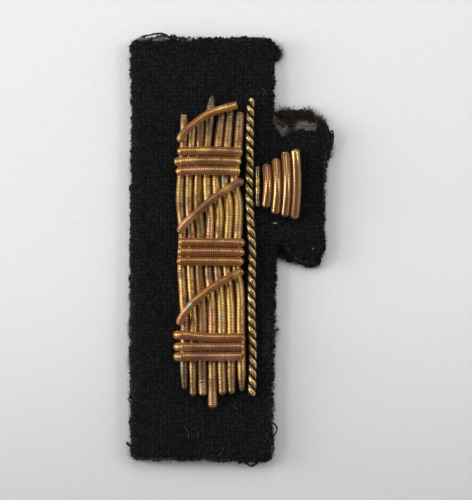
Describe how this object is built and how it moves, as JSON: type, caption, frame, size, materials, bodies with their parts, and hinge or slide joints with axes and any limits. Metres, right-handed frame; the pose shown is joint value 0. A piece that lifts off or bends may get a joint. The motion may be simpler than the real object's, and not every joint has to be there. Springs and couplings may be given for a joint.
{
  "type": "bullion wire badge",
  "caption": "Cloth patch with a side tab, worked in coiled metal wire with a bound bundle of upright rods, a twisted cord and an axe.",
  "frame": {"origin": "centre of the patch's outline at the underside of the backing cloth", "axes": "+X towards the side tab, +Y up the rods, +Z out of the worked face"},
  "size_m": [0.0332, 0.0702, 0.0058],
  "materials": {
    "ground_cloth": "fulled wool, faint weave",
    "interlining": "open linen weave",
    "back_cloth": "brown-black felted cloth",
    "gold_purl": "dull gilt coil with tarnish",
    "copper_purl": "copper-toned coil with tarnish",
    "blade_purl": "bright copper-gold coil",
    "poll_purl": "tarnished check coil with bright glints",
    "twisted_cord": "bright gilt wire-wound cord"
  },
  "bodies": {
    "root": {"ground_cloth": "ground_cloth", "interlining": "interlining", "back_cloth": "back_cloth", "rod_1": "gold_purl", "rod_2": "gold_purl", "rod_3": "gold_purl", "rod_4": "gold_purl", "rod_5": "gold_purl", "rod_6": "gold_purl", "rod_7": "gold_purl", "upper_band_1": "copper_purl", "upper_band_2": "copper_purl", "upper_band_3": "copper_purl", "middle_band_1": "copper_purl", "middle_band_2": "copper_purl", "middle_band_3": "copper_purl", "lower_band_1": "copper_purl", "lower_band_2": "copper_purl", "lower_band_3": "copper_purl", "slant_wire_1": "copper_purl", "slant_wire_2": "copper_purl", "slant_wire_3": "copper_purl", "blade_wire_1": "blade_purl", "blade_wire_2": "blade_purl", "blade_wire_3": "blade_purl", "blade_wire_4": "blade_purl", "poll_wire": "poll_purl", "cord_strand_1": "twisted_cord", "cord_strand_2": "twisted_cord"}
  },
  "joints": []
}
